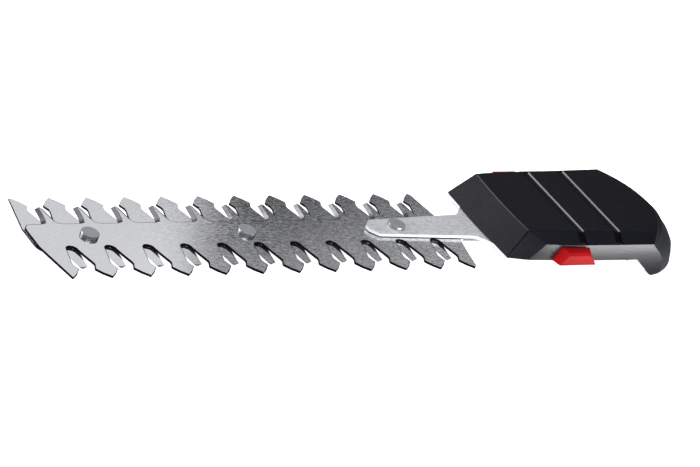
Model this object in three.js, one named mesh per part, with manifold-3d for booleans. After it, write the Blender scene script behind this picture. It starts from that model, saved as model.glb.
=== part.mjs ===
// Hedge trimmer blade attachment: a double-sided shear head that clips under a cordless drive unit.
// Millimetres. +X runs from the nose of the blades to the housing, +Y to the left seen from behind
// the nose, +Z up. The origin is under the middle of the object, at the foot of the rear hook.
import * as THREE from 'three';
import { mergeVertices } from 'three/addons/utils/BufferGeometryUtils.js';
import Module from 'manifold-3d';

const wasm = await Module();
wasm.setup();

// ---- driving dimensions ----
const HALF_LENGTH = 147.9;          // nose of the blades to the back of the housing, halved
const BLADE_Z = 6.3;                // top face of the upper blade above the foot of the hook
const NOSE_X = -HALF_LENGTH;

// blades
const BLADE_THICK = 0.9;
const BLADE_GAP = 0.1;
const TOOTH_PITCH = 16.5;
const TOOTH_COUNT = 12;
const FIRST_TOOTH_X = NOSE_X + 4.5;
const BODY_EDGE = 7.5;
const GUARD_ROOT_Y = 8.9;
const GUARD_ROOT_R = 2.4;
const GUARD_FLANK = { half: 5, y: 12.4 };
const GUARD_NECK = { half: 3.6, low: 17.2, high: 18.2 };
const GUARD_SHOULDER = { half: 4.75, y: 20.8, chamfer: 0.4 };
const GUARD_TIP_Y = 25.8;
const GUARD_TIP_BULGE = 0.25;
const NOSE_TIP_SHIFT = 0.5;
const NOSE_HEEL = [[3.3, 0], [0.9, 1.2], [0, 4]];   // from the nose and from the body edge
const NOSE_FLANK_Y = 6.5;
const LAST_TOOTH_BACK = [1.1, 1.3];
const LAST_TOOTH_FOOT = 4.3;
const CUTTER_STATIONS = { root: 8.1, waist: 10, middle: 13.7, tip: 18.3 };
const CUTTER_EDGE = { foot: 5.4, root: 3.9, waist: 3.2, middle: 2.5, tip: 1.85 };
const CUTTER_CREST = { foot: 4.6, root: 2.5, waist: 1.7, middle: 1.05, tip: 0.3 };
const SHANK_HALF = 7.2;
const SHANK_START = 6;
const SHANK_STEP = 1.5;
const UPPER_TAIL_X = 70;
const STROKE = 8;

// rivets that hold the blades
const RIVET_X = [-123.2, -53.8, 15.5];
const RIVET_NAMES = ['front', 'middle', 'rear'];
const RIVET_SHAFT_R = 2;
const RIVET_HEAD_R = 3.5;
const RIVET_HEAD_H = 1.5;
const RIVET_TAIL_R = 3;
const RIVET_TAIL_H = 1;
const BUSH_R = 3;
const WASHER_R = 5;
const WASHER_THICK = 0.6;
const RUNNING_GAP = 0.05;
const SLOT_SPARE = 0.4;

// base plate and its tongue
const PLATE_THICK = 1.5;
const TONGUE_NOSE_X = 2.1;
const TONGUE_NOSE_HALF = 1.2;
const TONGUE_START = { x: 5.2, half: 4.7 };
const TONGUE_END = { x: 49.6, half: 7.4 };
const TONGUE_FLARE = { x: 54.6, half: 12.4 };
const PLATE_FRONT_X = 54.8;
const PLATE_HALF = 22.2;
const PLATE_BACK_X = 124;
const PLATE_CORNER = 6;
const CRANK_HOLE_SPARE = 1;
const SCREW_HOLE_SPARE = 0.2;

// housing outline at four heights: front edge, front corner, end of the side, middle of the back
const HOOK = { z: -6.3, frontX: 55, frontHalf: 22.3, cornerX: 64.2, cornerHalf: 24.3,
  waistHalf: 25.5, sideHalf: 25.9, sideEndX: 133.4, backX: 147.5, backPower: 4, bow: 1.3 };
const FOOT = { z: 1.8, frontX: 55, frontHalf: 22.3, cornerX: 64.2, cornerHalf: 24.3,
  waistHalf: 25.5, sideHalf: 25.9, sideEndX: 131.4, backX: HALF_LENGTH, backPower: 2.6, bow: 1.3 };
const SHOULDER = { z: 8.9, frontX: 60.3, frontHalf: 20.5, cornerX: 69.8, cornerHalf: 24.6,
  waistHalf: 25.7, sideHalf: 26.1, sideEndX: 123.4, backX: 141.4, backPower: 2.05, bow: 1 };
const CROWN = { z: 12.3, frontX: 62.8, frontHalf: 19.65, cornerX: 64.3, cornerHalf: 19.7,
  waistHalf: 20.5, sideHalf: 22.1, sideEndX: 126.4, backX: 135.9, backPower: 2, bow: 0.9 };
const FRONT_STEPS = 4;
const WAIST_X = 85.2;
const WALL = 2.2;
const SEAM = 0.3;
const CORNER_OVERLAP = 0.5;
const CORNER_SLOPE = 0.4;
const SHOULDER_LIP = 0.6;
const HOUSING_GAP = 0.05;
const ARC_STEPS = 8;
const LEG_TOP = { x: 118.4, z: 1.6 };
const LEG_FOOT_X = 127;
const GROOVES_X = [[86.3, 89.9], [104.2, 107.9]];
const GROOVE_DEPTH = 1.1;

// release buttons and their latches
const BUTTON_X = 85.2;
const BUTTON_FACE_Y = 29.2;
const BUTTON_ROOT_Y = 25.4;
const BUTTON_FLOOR = 1.6;
const BUTTON_FACE = { low: 9.1, high: 6.0, front: 0.3 };
const BUTTON_ROOT = { low: 10.1, high: 6.9, front: 0.3 };
const BUTTON_LOW_Z = 1.9;
const BUTTON_FACE_TOP_Z = 6.9;
const BUTTON_ROOT_TOP_Z = 7.6;
const BUTTON_PLAY = 0.4;
const STEM_HALF = 5.6;
const STEM_GAP = 1.5;
const STEM_Z = [3.75, 6.9];
const LATCH_HALF = 7;
const LATCH_INNER_Y = 12.2;
const LATCH_OUTER_Y = 22.4;
const LATCH_SHEET = 1.4;
const LATCH_Z = 1.8;
const LATCH_FLANGE_TOP_Z = 8;
const LATCH_FLANGE_HALF = 4;
const LATCH_BITE = 0.8;
const EYE_SPARE = 0.2;
const POST_X = [81, 89];
const POST_Y = [15.6, 21.2];
const SPRING_R = 2.4;
const SPRING_WIRE_R = 0.3;
const SPRING_TURNS = 5;
const SPRING_Z = 5.3;
const SPRING_RIB_HALF = 3;
const SPRING_RIB_LENGTH = 7;

// crank
const CRANK_X = 105.9;
const ECCENTRIC_R = 7;
const ECCENTRIC_OFFSET = STROKE / 2;
const ECCENTRIC_TOP_Z = -0.3;
const ECCENTRIC_SIDES = 32;
const JOURNAL_R = 4;
const HUB_R = 6.5;
const HUB_LOW_Z = -5.1;
const SOCKET_FLATS = 7;
const SOCKET_TOP_Z = -0.6;
const BEARING_R = 6;
const BEARING_Z = [2.3, 9];
const THRUST_R = 7;
const THRUST_GAP = 0.1;
const BOSS_R = 8;
const CLIP_Z = 9.1;
const CLIP_THICK = 0.7;
const CLIP_GROOVE_R = 3.3;
const CLIP_R = 5;
const CLIP_MOUTH = 3.2;
const YOKE_WINDOW = { halfX: 15.5, halfY: 11.5 };
const YOKE_BAR = 3.5;
const YOKE_SHOULDER = 5;
const FELT_GAP = 0.1;
const FELT_HOLE_SPARE = 0.6;

// screws
const SCREW_PLACES = [[70, 17.2], [70, -17.2], [118, 18.8], [118, -18.8]];
const SCREW_R = 1.5;
const SCREW_HEAD_R = 2.8;
const SCREW_HEAD_H = 1.7;
const SCREW_TOP_Z = 9;
const SCREW_RECESS = { r: 1.2, depth: 1, sides: 6 };
const PILLAR_R = 3.4;
const LUG_Z = [1.8, 3.4];
const LUG_GAP = 0.2;
const LUG_REACH_Y = 24.5;
const ROOF_BITE = 0.3;
const BORE_SPARE = 0.3;
const SHANK_RIVET_X = 64;
const SHANK_RIVET_Y = 4;
const SHANK_RIVET_HEAD = { r: 3.2, height: 1 };
const SHANK_RIVET_FOOT_R = 2.8;

const ROUND = 24;
const SCREW_SIDES = 16;
const WIRE_SIDES = 6;
const TURN_STEPS = 12;
const FAR = 200;

// ---- materials ----
function material(color, roughness, metalness) {
  return new THREE.MeshStandardMaterial({ color, roughness, metalness });
}

const BLADE_STEEL = material(0xb9bcc0, 0.3, 1);
const PLATE_STEEL = material(0xc9cbcd, 0.35, 1);
const RIVET_STEEL = material(0x9da0a3, 0.4, 1);
const SPRING_STEEL = material(0x8d9094, 0.3, 1);
const BLACK_PLASTIC = material(0x202125, 0.55, 0);
const GREY_PLASTIC = material(0x2b2c30, 0.55, 0);
const RED_PLASTIC = material(0xb2191e, 0.4, 0);
const BRONZE = material(0x9a6b3a, 0.45, 1);
const FELT = material(0x6f6a60, 1, 0);

// ---- solids ----
function toSolid(geometry) {
  const bare = geometry.clone();
  bare.deleteAttribute('normal');
  bare.deleteAttribute('uv');
  const merged = mergeVertices(bare, 1e-4);
  const mesh = new wasm.Mesh({
    numProp: 3,
    vertProperties: Float32Array.from(merged.attributes.position.array),
    triVerts: Uint32Array.from(merged.index.array),
  });
  return new wasm.Manifold(mesh);
}

function toGeometry(solid) {
  const mesh = solid.getMesh();
  const geometry = new THREE.BufferGeometry();
  geometry.setAttribute('position', new THREE.BufferAttribute(mesh.vertProperties, 3));
  geometry.setIndex(new THREE.BufferAttribute(mesh.triVerts, 1));
  geometry.computeVertexNormals();
  return geometry;
}

// Straight loft through rings of equal length; ends are closed with flat caps.
function loft(rings) {
  const count = rings[0].length;
  const positions = rings.flat().flatMap((p) => [p.x, p.y, p.z]);
  const index = [];
  const cap = THREE.ShapeUtils.triangulateShape(rings[0].map((p) => new THREE.Vector2(p.x, p.y)), []);
  const crown = rings.at(-1).map((p) => new THREE.Vector2(p.x, p.y));
  const top = (rings.length - 1) * count;
  cap.forEach(([a, b, c]) => index.push(c, b, a));
  THREE.ShapeUtils.triangulateShape(crown, []).forEach(([a, b, c]) => index.push(top + a, top + b, top + c));
  for (let level = 0; level < rings.length - 1; level += 1) {
    for (let i = 0; i < count; i += 1) {
      const a = level * count + i;
      const b = level * count + ((i + 1) % count);
      index.push(a, b, b + count, a, b + count, a + count);
    }
  }
  const geometry = new THREE.BufferGeometry();
  geometry.setAttribute('position', new THREE.Float32BufferAttribute(positions, 3));
  geometry.setIndex(index);
  return toSolid(geometry);
}

function block(x0, x1, y0, y1, z0, z1) {
  const geometry = new THREE.BoxGeometry(x1 - x0, y1 - y0, z1 - z0);
  geometry.translate((x0 + x1) / 2, (y0 + y1) / 2, (z0 + z1) / 2);
  return toSolid(geometry);
}

function disc(radius, x, y, z0, z1, sides = ROUND) {
  const geometry = new THREE.CylinderGeometry(radius, radius, z1 - z0, sides);
  geometry.rotateX(Math.PI / 2);
  geometry.translate(x, y, (z0 + z1) / 2);
  return toSolid(geometry);
}

function tube(outer, inner, x, y, z0, z1) {
  return disc(outer, x, y, z0, z1).subtract(disc(inner, x, y, z0 - 1, z1 + 1));
}

function slab(points, z0, z1) {
  const shape = new THREE.Shape(points.map(([x, y]) => new THREE.Vector2(x, y)));
  const geometry = new THREE.ExtrudeGeometry(shape, { depth: z1 - z0, bevelEnabled: false });
  geometry.translate(0, 0, z0);
  return toSolid(geometry);
}

// A prism whose outline is drawn in the XZ plane and runs across from y0 to y1.
function crossPrism(points, y0, y1) {
  const shape = new THREE.Shape(points.map(([x, z]) => new THREE.Vector2(x, z)));
  const geometry = new THREE.ExtrudeGeometry(shape, { depth: y1 - y0, bevelEnabled: false });
  geometry.rotateX(Math.PI / 2);
  geometry.translate(0, y1, 0);
  return toSolid(geometry);
}

// Pieces of the left side are built at +Y and mirrored for the right side.
const towards = (solid, side) => (side > 0 ? solid : solid.mirror([0, 1, 0]));

function mirrorOutline(points) {
  const back = points.toReversed().map(([x, y]) => [x, -y]);
  return points.concat(back);
}

// ---- blades ----
// One guard tooth, drawn away from the body: neck, shoulder and pointed tip, left side then right.
function guardTooth(centre) {
  const slopeHalf = GUARD_SHOULDER.half / 2 + GUARD_TIP_BULGE;
  const slopeY = (GUARD_SHOULDER.y + GUARD_TIP_Y) / 2 + GUARD_TIP_BULGE;
  const side = [
    [GUARD_FLANK.half, GUARD_FLANK.y],
    [GUARD_NECK.half, GUARD_NECK.low],
    [GUARD_NECK.half, GUARD_NECK.high],
    [GUARD_SHOULDER.half - GUARD_SHOULDER.chamfer / 4, GUARD_SHOULDER.y - GUARD_SHOULDER.chamfer],
    [GUARD_SHOULDER.half, GUARD_SHOULDER.y],
    [slopeHalf, slopeY],
  ];
  const left = side.map(([half, y]) => [centre - half, y]);
  const right = side.toReversed().map(([half, y]) => [centre + half, y]);
  return [...left, [centre, GUARD_TIP_Y], ...right];
}

function guardRoot(centre) {
  const points = [];
  for (let step = 0; step <= ARC_STEPS; step += 1) {
    const angle = Math.PI + (Math.PI * step) / ARC_STEPS;
    points.push([centre + GUARD_ROOT_R * Math.cos(angle), GUARD_ROOT_Y + GUARD_ROOT_R * Math.sin(angle)]);
  }
  return points;
}

// One cutting tooth, drawn towards -y. The crest outline is narrower than the edge outline, so the
// straight walls between the two faces are the ground bevels.
function cutterTooth(centre, width) {
  const side = [
    [width.foot, -BODY_EDGE],
    [width.root, -CUTTER_STATIONS.root],
    [width.waist, -CUTTER_STATIONS.waist],
    [width.middle, -CUTTER_STATIONS.middle],
    [width.tip, -CUTTER_STATIONS.tip],
  ];
  const right = side.map(([half, y]) => [centre + half, y]);
  const left = side.toReversed().map(([half, y]) => [centre - half, y]);
  return [...right, ...left];
}

// Blade outline with guard teeth towards +y and cutting teeth towards -y, from the nose round to the tail.
function bladeOutline(width, tail) {
  const lastX = FIRST_TOOTH_X + TOOTH_PITCH * (TOOTH_COUNT - 1);
  const points = NOSE_HEEL.map(([x, y]) => [NOSE_X + x, y - BODY_EDGE]);
  points.push([NOSE_X, NOSE_FLANK_Y], [FIRST_TOOTH_X - NOSE_TIP_SHIFT, GUARD_TIP_Y]);
  const firstTooth = guardTooth(FIRST_TOOTH_X);
  points.push(...firstTooth.slice(firstTooth.length / 2 + 0.5));
  for (let k = 1; k < TOOTH_COUNT; k += 1) {
    const centre = FIRST_TOOTH_X + TOOTH_PITCH * k;
    points.push(...guardRoot(centre - TOOTH_PITCH / 2));
    const tooth = guardTooth(centre);
    const isLast = k === TOOTH_COUNT - 1;
    points.push(...(isLast ? tooth.slice(0, tooth.length / 2 + 0.5) : tooth));
  }
  points.push([lastX + LAST_TOOTH_BACK[0], GUARD_TIP_Y - LAST_TOOTH_BACK[1]]);
  points.push([lastX + LAST_TOOTH_FOOT, BODY_EDGE]);
  points.push(...tail);
  for (let k = TOOTH_COUNT - 2; k >= 0; k -= 1) {
    const centre = FIRST_TOOTH_X + TOOTH_PITCH * (k + 0.5);
    points.push(...cutterTooth(centre, width));
  }
  return points;
}

// The cutting edges lie on the face at edgeZ and the bevels rise to the face at crestZ.
function bladePlate(edgeZ, crestZ, tail, side) {
  const ring = (width, z) => bladeOutline(width, tail).map(([x, y]) => new THREE.Vector3(x, side * y, z));
  const edgeRing = ring(CUTTER_EDGE, edgeZ);
  const crestRing = ring(CUTTER_CREST, crestZ);
  const rings = edgeZ < crestZ ? [edgeRing, crestRing] : [crestRing, edgeRing];
  const isClockwise = THREE.ShapeUtils.isClockWise(rings[0].map((p) => new THREE.Vector2(p.x, p.y)));
  return loft(isClockwise ? rings.map((r) => r.toReversed()) : rings);
}

const SHANK_X = FIRST_TOOTH_X + TOOTH_PITCH * (TOOTH_COUNT - 1) + SHANK_START;
const UPPER_LOW_Z = -BLADE_THICK;
const LOWER_HIGH_Z = UPPER_LOW_Z - BLADE_GAP;
const LOWER_LOW_Z = LOWER_HIGH_Z - BLADE_THICK;

function upperBlade() {
  const tail = [[SHANK_X, SHANK_HALF], [UPPER_TAIL_X, SHANK_HALF], [UPPER_TAIL_X, -SHANK_HALF],
    [SHANK_X, -SHANK_HALF], [SHANK_X - SHANK_STEP, -BODY_EDGE]];
  let solid = bladePlate(UPPER_LOW_Z, 0, tail, -1);
  RIVET_X.forEach((x) => {
    solid = solid.subtract(disc(RIVET_SHAFT_R + RUNNING_GAP, x, 0, -FAR, FAR));
  });
  [-1, 1].forEach((side) => {
    solid = solid.subtract(disc(RIVET_SHAFT_R + RUNNING_GAP, SHANK_RIVET_X, side * SHANK_RIVET_Y, -FAR, FAR));
  });
  return solid;
}

function rivetSlot(x, halfWidth, halfTravel) {
  const middle = block(x - halfTravel, x + halfTravel, -halfWidth, halfWidth, -FAR, FAR);
  return middle
    .add(disc(halfWidth, x - halfTravel, 0, -FAR, FAR))
    .add(disc(halfWidth, x + halfTravel, 0, -FAR, FAR));
}

function lowerBlade() {
  const yokeFront = CRANK_X - YOKE_WINDOW.halfX - YOKE_BAR;
  const yokeBack = CRANK_X + YOKE_WINDOW.halfX + YOKE_BAR;
  const yokeHalf = YOKE_WINDOW.halfY + YOKE_BAR;
  const neckX = yokeFront - YOKE_SHOULDER;
  const tail = [[SHANK_X, SHANK_HALF], [neckX, SHANK_HALF], [yokeFront, yokeHalf], [yokeBack, yokeHalf],
    [yokeBack, -yokeHalf], [yokeFront, -yokeHalf], [neckX, -SHANK_HALF], [SHANK_X, -SHANK_HALF],
    [SHANK_X - SHANK_STEP, -BODY_EDGE]];
  let solid = bladePlate(LOWER_HIGH_Z, LOWER_LOW_Z, tail, 1);
  RIVET_X.forEach((x) => {
    solid = solid.subtract(rivetSlot(x, BUSH_R + RUNNING_GAP, STROKE / 2 + SLOT_SPARE));
  });
  const window = block(CRANK_X - YOKE_WINDOW.halfX, CRANK_X + YOKE_WINDOW.halfX,
    -YOKE_WINDOW.halfY, YOKE_WINDOW.halfY, -FAR, FAR);
  return solid.subtract(window);
}

function bladeRivet(x, seatZ) {
  const tailZ = LOWER_LOW_Z - BLADE_GAP - WASHER_THICK - RUNNING_GAP;
  const head = disc(RIVET_HEAD_R, x, 0, seatZ + RUNNING_GAP, seatZ + RIVET_HEAD_H);
  const tail = disc(RIVET_TAIL_R, x, 0, tailZ - RIVET_TAIL_H, tailZ);
  const shaft = disc(RIVET_SHAFT_R, x, 0, tailZ - RIVET_TAIL_H / 2, seatZ + RIVET_HEAD_H / 2);
  return shaft.add(head).add(tail);
}

function guideBush(x) {
  const low = LOWER_LOW_Z - RUNNING_GAP;
  return tube(BUSH_R, RIVET_SHAFT_R + RUNNING_GAP, x, 0, low, UPPER_LOW_Z - RUNNING_GAP);
}

function rivetWasher(x) {
  const high = LOWER_LOW_Z - BLADE_GAP;
  return tube(WASHER_R, RIVET_SHAFT_R + RUNNING_GAP, x, 0, high - WASHER_THICK, high);
}

function shankRivet(side) {
  const y = side * SHANK_RIVET_Y;
  const headZ = PLATE_THICK + RUNNING_GAP;
  const skin = BLADE_GAP / 5;
  const headTop = headZ + SHANK_RIVET_HEAD.height;
  const shaft = disc(RIVET_SHAFT_R, SHANK_RIVET_X, y, UPPER_LOW_Z - 2 * skin, (headZ + headTop) / 2);
  const head = disc(SHANK_RIVET_HEAD.r, SHANK_RIVET_X, y, headZ, headTop);
  const foot = disc(SHANK_RIVET_FOOT_R, SHANK_RIVET_X, y, LOWER_HIGH_Z + skin, UPPER_LOW_Z - skin);
  return shaft.add(head).add(foot);
}

// ---- base plate ----
function basePlate() {
  const half = [[TONGUE_NOSE_X, TONGUE_NOSE_HALF], [TONGUE_START.x, TONGUE_START.half],
    [TONGUE_END.x, TONGUE_END.half], [TONGUE_FLARE.x, TONGUE_FLARE.half], [PLATE_FRONT_X, PLATE_HALF],
    [PLATE_BACK_X - PLATE_CORNER, PLATE_HALF], [PLATE_BACK_X, PLATE_HALF - PLATE_CORNER]];
  let solid = slab(mirrorOutline(half), RUNNING_GAP, PLATE_THICK);
  solid = solid.subtract(disc(RIVET_SHAFT_R + RUNNING_GAP, RIVET_X[2], 0, -FAR, FAR));
  solid = solid.subtract(disc(JOURNAL_R + CRANK_HOLE_SPARE, CRANK_X, 0, -FAR, FAR));
  [-1, 1].forEach((side) => {
    const y = [side * POST_Y[0], side * POST_Y[1]].sort((a, b) => a - b);
    solid = solid.subtract(block(POST_X[0], POST_X[1], y[0], y[1], -FAR, FAR));
    solid = solid.subtract(disc(RIVET_SHAFT_R + RUNNING_GAP, SHANK_RIVET_X, side * SHANK_RIVET_Y, -FAR, FAR));
  });
  SCREW_PLACES.forEach(([x, y]) => {
    solid = solid.subtract(disc(SCREW_R + SCREW_HOLE_SPARE, x, y, -FAR, FAR));
  });
  return solid;
}

// ---- housing ----
// Plan outline of the housing at one level, drawn in by inset all round.
function housingRing(level, inset) {
  const half = [];
  for (let step = 0; step <= FRONT_STEPS; step += 1) {
    const share = step / FRONT_STEPS;
    half.push([level.frontX + inset - level.bow * (1 - share ** 2), (level.frontHalf - inset) * share]);
  }
  half.push([level.cornerX + inset, level.cornerHalf - inset]);
  half.push([WAIST_X, level.waistHalf - inset]);
  for (let step = ARC_STEPS; step >= 0; step -= 1) {
    const turn = (Math.PI / 2) * (step / ARC_STEPS);
    const y = (level.sideHalf - inset) * Math.sin(turn) ** (2 / level.backPower);
    half.push([level.backX - inset - (level.backX - level.sideEndX) * Math.sin(turn) ** 2, y]);
  }
  const otherSide = half.slice(1, -1).toReversed().map(([x, y]) => [x, -y]);
  return [...half, ...otherSide].toReversed();
}

function housingLoft(levels, inset) {
  return loft(levels.map((level) => housingRing(level, inset)
    .map(([x, y]) => new THREE.Vector3(x, y, level.z))));
}

const lowered = (level, drop) => ({ ...level, z: level.z - drop });

function housingShell() {
  const outer = housingLoft([HOOK, FOOT, SHOULDER, CROWN], 0);
  const cavity = [lowered(HOOK, 1), FOOT, lowered(SHOULDER, SHOULDER_LIP), lowered(CROWN, WALL)];
  const inner = housingLoft(cavity, WALL);
  return outer.subtract(inner);
}

// The region of the lower housing: the facet at each front corner and everything under the
// shoulder behind it. grow moves its boundary outwards for the seam.
function lowerRegion(grow) {
  const band = crossPrism([[FOOT.cornerX - grow, -FAR], [FOOT.cornerX - grow, FOOT.z],
    [SHOULDER.cornerX - grow, SHOULDER.z + grow], [FAR, SHOULDER.z + grow], [FAR, -FAR]], -FAR, FAR);
  return band.add(cornerSlab(1, grow)).add(cornerSlab(-1, grow));
}

// A slab that lies just behind the flat facet of one front corner.
function cornerSlab(side, grow) {
  const depth = WALL + grow;
  const ring = (z) => {
    const crownShare = (z - FOOT.z) / (CROWN.z - FOOT.z);
    const shoulderShare = (z - FOOT.z) / (SHOULDER.z - FOOT.z);
    const x = THREE.MathUtils.lerp(FOOT.frontX, CROWN.frontX, crownShare) - grow;
    const y = THREE.MathUtils.lerp(FOOT.frontHalf, CROWN.frontHalf, crownShare) - grow;
    const backX = THREE.MathUtils.lerp(FOOT.cornerX, SHOULDER.cornerX, shoulderShare) + CORNER_OVERLAP;
    const backY = THREE.MathUtils.lerp(FOOT.cornerHalf, SHOULDER.cornerHalf, shoulderShare) + CORNER_OVERLAP;
    const points = [
      [x - 2 * CORNER_OVERLAP, y + CORNER_OVERLAP],
      [x + depth, y - depth * CORNER_SLOPE],
      [backX, backY - depth],
      [backX, backY + WALL],
    ];
    return points.map(([px, py]) => new THREE.Vector3(px, side * py, z));
  };
  const rings = [ring(HOOK.z - 1), ring(SHOULDER.z + grow)];
  return loft(side > 0 ? rings : rings.map((r) => r.toReversed()));
}

function coverShell(shell) {
  let solid = shell.subtract(lowerRegion(SEAM));
  solid = solid.intersect(block(-FAR, FAR, -FAR, FAR, FOOT.z, FAR));
  const deep = housingLoft([HOOK, FOOT, SHOULDER, CROWN], GROOVE_DEPTH)
    .intersect(block(-FAR, FAR, -FAR, FAR, -FAR, CROWN.z - GROOVE_DEPTH));
  GROOVES_X.forEach(([x0, x1]) => {
    const cut = block(x0, x1, -FAR, FAR, SHOULDER.z + SEAM, FAR).subtract(deep);
    solid = solid.subtract(cut);
  });
  const roof = CROWN.z - WALL + ROOF_BITE;
  SCREW_PLACES.forEach(([x, y]) => {
    solid = solid.add(disc(PILLAR_R, x, y, LUG_Z[1] + LUG_GAP, roof));
    solid = solid.subtract(disc(SCREW_R + RUNNING_GAP, x, y, -FAR, SCREW_TOP_Z + BORE_SPARE));
  });
  solid = solid.add(disc(BOSS_R, CRANK_X, 0, BEARING_Z[0], roof));
  solid = solid.subtract(disc(BEARING_R + RUNNING_GAP, CRANK_X, 0, -FAR, CLIP_Z + CLIP_THICK + BORE_SPARE));
  const ribX = [BUTTON_X - SPRING_RIB_LENGTH / 2, BUTTON_X + SPRING_RIB_LENGTH / 2];
  return solid.add(block(ribX[0], ribX[1], -SPRING_RIB_HALF, SPRING_RIB_HALF, LATCH_Z, roof));
}

function buttonOutline(sizes, topZ, grow) {
  const middle = BUTTON_X + sizes.front;
  return [[middle - sizes.low - grow, BUTTON_LOW_Z - grow], [middle + sizes.low + grow, BUTTON_LOW_Z - grow],
    [middle + sizes.high + grow, topZ + grow], [middle - sizes.high - grow, topZ + grow]];
}

function lowerHousing(shell) {
  let solid = shell.intersect(lowerRegion(0));
  solid = solid.intersect(block(-FAR, FAR, -FAR, FAR, -FAR, SHOULDER.z - HOUSING_GAP));
  const underside = crossPrism([[0, -FAR], [LEG_FOOT_X, -FAR], [LEG_FOOT_X, HOOK.z],
    [LEG_TOP.x, LEG_TOP.z], [0, LEG_TOP.z]], -FAR, FAR);
  solid = solid.subtract(underside);
  [-1, 1].forEach((side) => {
    const outline = buttonOutline(BUTTON_ROOT, BUTTON_ROOT_TOP_Z, BUTTON_PLAY);
    solid = solid.subtract(towards(crossPrism(outline, CROWN.waistHalf, FAR), side));
  });
  SCREW_PLACES.forEach(([x, y]) => {
    const side = Math.sign(y);
    const reach = [y, side * LUG_REACH_Y].sort((a, b) => a - b);
    const lug = block(x - PILLAR_R, x + PILLAR_R, reach[0], reach[1], LUG_Z[0], LUG_Z[1])
      .add(disc(PILLAR_R, x, y, LUG_Z[0], LUG_Z[1]))
      .subtract(disc(SCREW_R + SCREW_HOLE_SPARE, x, y, -FAR, FAR));
    solid = solid.add(lug);
  });
  return solid;
}

// ---- buttons, latches, springs (side +1 is +Y, -1 is -Y) ----
function releaseButton(side) {
  const ring = (sizes, topZ, y) => buttonOutline(sizes, topZ, 0).map(([x, z]) => [x, y, z]);
  const face = ring(BUTTON_FACE, BUTTON_FACE_TOP_Z, BUTTON_FACE_Y);
  const root = ring(BUTTON_ROOT, BUTTON_ROOT_TOP_Z, BUTTON_ROOT_Y);
  const inner = ring(BUTTON_ROOT, BUTTON_ROOT_TOP_Z, BUTTON_ROOT_Y - BUTTON_FLOOR);
  // The loft runs along z, so the cap is built lying on its back and turned upright.
  const lying = (points) => points.map(([x, y, z]) => new THREE.Vector3(x, z, -y));
  const cap = loft([lying(face), lying(root), lying(inner)]).rotate([90, 0, 0]);
  const stem = block(BUTTON_X - STEM_HALF, BUTTON_X + STEM_HALF, LATCH_INNER_Y + LATCH_SHEET + STEM_GAP,
    BUTTON_ROOT_Y, STEM_Z[0], STEM_Z[1]);
  return towards(cap.add(stem), side);
}

function latchPlate(side) {
  const flat = block(BUTTON_X - LATCH_HALF, BUTTON_X + LATCH_HALF, LATCH_INNER_Y, LATCH_OUTER_Y,
    LATCH_Z, LATCH_Z + LATCH_SHEET);
  const flange = block(BUTTON_X - LATCH_FLANGE_HALF, BUTTON_X + LATCH_FLANGE_HALF,
    LATCH_INNER_Y, LATCH_INNER_Y + LATCH_SHEET, LATCH_Z, LATCH_FLANGE_TOP_Z);
  const eyeX = [POST_X[0] - EYE_SPARE, POST_X[1] + EYE_SPARE];
  const eye = block(eyeX[0], eyeX[1], POST_Y[0], POST_Y[1] - LATCH_BITE, -FAR, FAR);
  return towards(flat.add(flange).subtract(eye), side);
}

function springGeometry(side) {
  const start = SPRING_RIB_HALF + SPRING_WIRE_R + RUNNING_GAP;
  const end = LATCH_INNER_Y - SPRING_WIRE_R - RUNNING_GAP;
  class Helix extends THREE.Curve {
    getPoint(t, target = new THREE.Vector3()) {
      const angle = 2 * Math.PI * SPRING_TURNS * t;
      const radius = SPRING_R - SPRING_WIRE_R;
      return target.set(BUTTON_X + radius * Math.cos(angle), side * (start + (end - start) * t),
        SPRING_Z + radius * Math.sin(angle));
    }
  }
  const wire = new THREE.Shape();
  for (let i = 0; i < WIRE_SIDES; i += 1) {
    const angle = (2 * Math.PI * i) / WIRE_SIDES;
    const point = [SPRING_WIRE_R * Math.cos(angle), SPRING_WIRE_R * Math.sin(angle)];
    if (i === 0) {
      wire.moveTo(...point);
    } else {
      wire.lineTo(...point);
    }
  }
  wire.closePath();
  return new THREE.ExtrudeGeometry(wire, { steps: SPRING_TURNS * TURN_STEPS, extrudePath: new Helix() });
}

// ---- crank ----
function driveCrank() {
  const clipTop = CLIP_Z + CLIP_THICK;
  const clipGroove = tube(JOURNAL_R + 1, CLIP_GROOVE_R, CRANK_X, 0,
    CLIP_Z - RUNNING_GAP, clipTop + RUNNING_GAP);
  const journal = disc(JOURNAL_R, CRANK_X, 0, UPPER_LOW_Z, clipTop + 2 * RUNNING_GAP).subtract(clipGroove);
  const eccentric = disc(ECCENTRIC_R, CRANK_X, ECCENTRIC_OFFSET, LOWER_LOW_Z - BLADE_GAP, ECCENTRIC_TOP_Z,
    ECCENTRIC_SIDES);
  const hub = disc(HUB_R, CRANK_X, 0, HUB_LOW_Z, LOWER_LOW_Z);
  const socket = disc(SOCKET_FLATS / Math.sqrt(3), CRANK_X, 0, HUB_LOW_Z - 1, SOCKET_TOP_Z, 6);
  return journal.add(eccentric).add(hub).subtract(socket);
}

function crankBearing() {
  return tube(BEARING_R, JOURNAL_R + RUNNING_GAP, CRANK_X, 0, BEARING_Z[0], BEARING_Z[1]);
}

function thrustWasher() {
  const low = PLATE_THICK + THRUST_GAP;
  return tube(THRUST_R, JOURNAL_R + THRUST_GAP, CRANK_X, 0, low, BEARING_Z[0] - THRUST_GAP);
}

function crankCirclip() {
  const ring = tube(CLIP_R, CLIP_GROOVE_R + 2 * RUNNING_GAP, CRANK_X, 0, CLIP_Z, CLIP_Z + CLIP_THICK);
  return ring.subtract(block(CRANK_X, FAR, -CLIP_MOUTH / 2, CLIP_MOUTH / 2, 0, FAR));
}

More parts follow.
